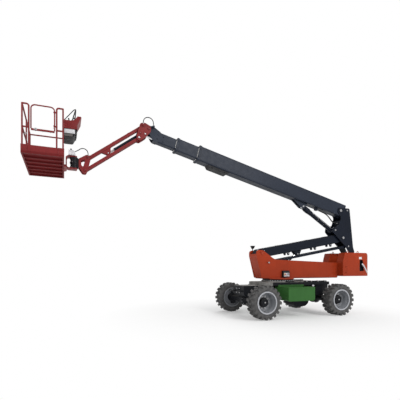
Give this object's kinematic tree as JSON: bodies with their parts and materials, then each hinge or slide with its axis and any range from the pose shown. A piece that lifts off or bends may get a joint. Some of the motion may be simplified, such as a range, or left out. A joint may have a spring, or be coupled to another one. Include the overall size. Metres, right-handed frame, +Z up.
{
  "type": "self-propelled boom lift",
  "caption": "Electric boom lift with a riser, a telescopic boom and a jib, on a steered wheeled chassis, with a railed platform.",
  "frame": {"origin": "on the ground, midway between the axles on the machine's middle plane", "axes": "+X towards the platform, +Y to the machine's left, +Z up"},
  "size_m": [11.295, 2.46, 5.7928],
  "materials": {
    "turntable_orange": "semi-gloss paint",
    "jib_red": "semi-gloss paint",
    "boom_slate": "semi-gloss paint",
    "chassis_grey": "matt paint",
    "tray_green": "semi-gloss paint",
    "black_plastic": "moulded",
    "black_metal": "satin paint",
    "steel": "ground",
    "hose_rubber": "smooth hose cover",
    "rod_chrome": "hard chrome",
    "tyre_rubber": "moulded rubber",
    "rim_silver": "silver paint"
  },
  "bodies": {
    "chassis": {"chassis_frame": "chassis_grey", "tie_down_lugs": "chassis_grey", "front_axle": "chassis_grey", "rear_axle": "chassis_grey", "battery_trays": "tray_green", "battery_packs": "black_plastic", "drive_unit": "black_metal", "drive_shafts": "steel", "slew_ring": "black_metal"},
    "knuckle_left": {"knuckle_left": "chassis_grey"},
    "knuckle_right": {"knuckle_right": "chassis_grey"},
    "wheel_front_left": {"tyre_front_left": "tyre_rubber", "rim_front_left": "rim_silver"},
    "wheel_front_right": {"tyre_front_right": "tyre_rubber", "rim_front_right": "rim_silver"},
    "wheel_rear_left": {"tyre_rear_left": "tyre_rubber", "rim_rear_left": "rim_silver"},
    "wheel_rear_right": {"tyre_rear_right": "tyre_rubber", "rim_rear_right": "rim_silver"},
    "turntable": {"turntable_frame": "turntable_orange", "counterweight": "turntable_orange", "ground_controls": "black_plastic", "beacon": "black_plastic"},
    "riser_arm": {"riser_arm": "boom_slate"},
    "riser_tie": {"riser_tie": "boom_slate"},
    "riser_barrel": {"riser_barrel": "black_metal"},
    "riser_rod": {"riser_rod": "rod_chrome"},
    "upright": {"upright": "boom_slate", "hose_tail": "hose_rubber"},
    "boom_base": {"boom_base": "boom_slate", "boom_guide": "black_plastic"},
    "lift_barrel": {"lift_barrel": "black_metal"},
    "lift_rod": {"lift_rod": "rod_chrome"},
    "boom_mid": {"boom_mid": "boom_slate"},
    "boom_fly": {"boom_fly": "boom_slate", "hose_root": "hose_rubber"},
    "level_rod": {"level_rod": "rod_chrome"},
    "jib_root": {"jib_root": "jib_red"},
    "jib_upper": {"jib_upper": "jib_red"},
    "jib_lower": {"jib_lower": "jib_red"},
    "jib_barrel": {"jib_barrel": "black_metal"},
    "jib_rod": {"jib_rod": "rod_chrome"},
    "jib_head": {"jib_head": "jib_red", "rotator": "black_metal", "hose_head": "hose_rubber"},
    "platform": {"platform_bracket": "jib_red", "platform_floor": "jib_red", "toe_boards": "jib_red", "platform_rails": "jib_red", "control_box": "black_plastic", "control_guard": "jib_red", "platform_valve": "black_metal"},
    "gate": {"gate": "jib_red"}
  },
  "joints": [
    {"name": "slew", "type": "hinge", "parent": "chassis", "child": "turntable", "pos_m": [0.15, 0, 1.15], "axis": [0, 0, 1], "range_deg": [-175, 175]},
    {"name": "steer_left", "type": "hinge", "parent": "chassis", "child": "knuckle_left", "pos_m": [1.385, 0.9, 0.505], "axis": [0, 0, 1], "range_deg": [-32, 32]},
    {"name": "steer_right", "type": "hinge", "parent": "chassis", "child": "knuckle_right", "pos_m": [1.385, -0.9, 0.505], "axis": [0, 0, 1], "range_deg": [-32.5, 32.5]},
    {"name": "roll_front_left", "type": "hinge", "parent": "knuckle_left", "child": "wheel_front_left", "pos_m": [1.385, 1.05, 0.505], "axis": [0, 1, 0], "continuous": true},
    {"name": "roll_front_right", "type": "hinge", "parent": "knuckle_right", "child": "wheel_front_right", "pos_m": [1.385, -1.05, 0.505], "axis": [0, 1, 0], "continuous": true},
    {"name": "roll_rear_left", "type": "hinge", "parent": "chassis", "child": "wheel_rear_left", "pos_m": [-1.385, 1.05, 0.505], "axis": [0, 1, 0], "continuous": true},
    {"name": "roll_rear_right", "type": "hinge", "parent": "chassis", "child": "wheel_rear_right", "pos_m": [-1.385, -1.05, 0.505], "axis": [0, 1, 0], "continuous": true},
    {"name": "riser_lift", "type": "hinge", "parent": "turntable", "child": "riser_arm", "pos_m": [0.9, 0, 1.99], "axis": [0, 1, 0], "range_deg": [-12, 60]},
    {"name": "riser_tie_turn", "type": "hinge", "parent": "turntable", "child": "riser_tie", "pos_m": [0.66, 0, 1.69], "axis": [0, 1, 0], "range_deg": [-12.5, 60.5]},
    {"name": "upright_level", "type": "hinge", "parent": "riser_arm", "child": "upright", "pos_m": [-2.50638, 0, 2.59677], "axis": [0, 1, 0], "range_deg": [-60.5, 12.5]},
    {"name": "riser_barrel_turn", "type": "hinge", "parent": "turntable", "child": "riser_barrel", "pos_m": [0.62, 0, 1.33], "axis": [0, 1, 0], "range_deg": [-10.1, 48.5]},
    {"name": "riser_rod_slide", "type": "slide", "parent": "riser_barrel", "child": "riser_rod", "axis": [-0.881, 0, 0.4731], "range_m": [-0.1245, 0.6146]},
    {"name": "boom_lift", "type": "hinge", "parent": "upright", "child": "boom_base", "pos_m": [-2.39138, 0, 3.56677], "axis": [0, -1, 0], "range_deg": [-14, 60], "deforming": ["hose_tail"]},
    {"name": "lift_barrel_turn", "type": "hinge", "parent": "upright", "child": "lift_barrel", "pos_m": [-2.14038, 0, 2.85977], "axis": [0, -1, 0], "range_deg": [-11.49, 47.6]},
    {"name": "lift_rod_slide", "type": "slide", "parent": "lift_barrel", "child": "lift_rod", "axis": [0.8558, 0, 0.5174], "range_m": [-0.1486, 0.6303]},
    {"name": "telescope", "type": "slide", "parent": "boom_base", "child": "boom_mid", "axis": [0.9703, 0, 0.2419], "range_m": [-0.3, 4.2]},
    {"name": "fly_slide", "type": "slide", "parent": "boom_mid", "child": "boom_fly", "axis": [0.9703, 0, 0.2419], "range_m": [-0.305, 4.205]},
    {"name": "level_rod_slide", "type": "slide", "parent": "boom_fly", "child": "level_rod", "axis": [0.9703, 0, 0.2419], "range_m": [-0.1842, 0.0445]},
    {"name": "jib_level", "type": "hinge", "parent": "boom_fly", "child": "jib_root", "pos_m": [4.61426, 0, 5.47837], "axis": [0, -1, 0], "range_deg": [-60.5, 14.5], "deforming": ["hose_root"]},
    {"name": "jib_lift", "type": "hinge", "parent": "jib_root", "child": "jib_upper", "pos_m": [4.79926, 0, 5.53337], "axis": [0, -1, 0], "range_deg": [-14, 100]},
    {"name": "jib_lower_turn", "type": "hinge", "parent": "jib_root", "child": "jib_lower", "pos_m": [4.88926, 0, 5.19337], "axis": [0, -1, 0], "range_deg": [-14.5, 100.5]},
    {"name": "jib_head_level", "type": "hinge", "parent": "jib_upper", "child": "jib_head", "pos_m": [6.25986, 0, 4.46437], "axis": [0, -1, 0], "range_deg": [-100.5, 14.5]},
    {"name": "jib_barrel_turn", "type": "hinge", "parent": "jib_root", "child": "jib_barrel", "pos_m": [4.85926, 0, 5.31837], "axis": [0, -1, 0], "range_deg": [-14.5, 100.5]},
    {"name": "jib_rod_slide", "type": "slide", "parent": "jib_barrel", "child": "jib_rod", "axis": [0.807, 0, -0.5906], "range_m": [-0.0496, 0.3423]},
    {"name": "platform_turn", "type": "hinge", "parent": "jib_head", "child": "platform", "pos_m": [6.62, 0, 4.19], "axis": [0, 0, 1], "range_deg": [-90, 90], "deforming": ["hose_head"]},
    {"name": "gate_swing", "type": "hinge", "parent": "platform", "child": "gate", "pos_m": [7.078, 0.955, 5.28], "axis": [0, 0, -1], "range_deg": [0, 90]}
  ],
  "couplings": [
    {"joint": "steer_right", "follows": "steer_left", "ratio": 1},
    {"joint": "riser_tie_turn", "follows": "riser_lift", "ratio": 1},
    {"joint": "upright_level", "follows": "riser_lift", "ratio": -1},
    {"joint": "riser_barrel_turn", "follows": "riser_lift", "ratio": 0.8},
    {"joint": "riser_rod_slide", "follows": "riser_lift", "m_per_rad": 0.585},
    {"joint": "lift_barrel_turn", "follows": "boom_lift", "ratio": 0.785},
    {"joint": "lift_rod_slide", "follows": "boom_lift", "m_per_rad": 0.6},
    {"joint": "fly_slide", "follows": "telescope", "ratio": 1},
    {"joint": "level_rod_slide", "follows": "boom_lift", "m_per_rad": -0.174},
    {"joint": "jib_level", "follows": "boom_lift", "ratio": -1},
    {"joint": "jib_lower_turn", "follows": "jib_lift", "ratio": 1},
    {"joint": "jib_head_level", "follows": "jib_lift", "ratio": -1},
    {"joint": "jib_barrel_turn", "follows": "jib_lift", "ratio": 1},
    {"joint": "jib_rod_slide", "follows": "jib_lift", "m_per_rad": 0.195}
  ]
}
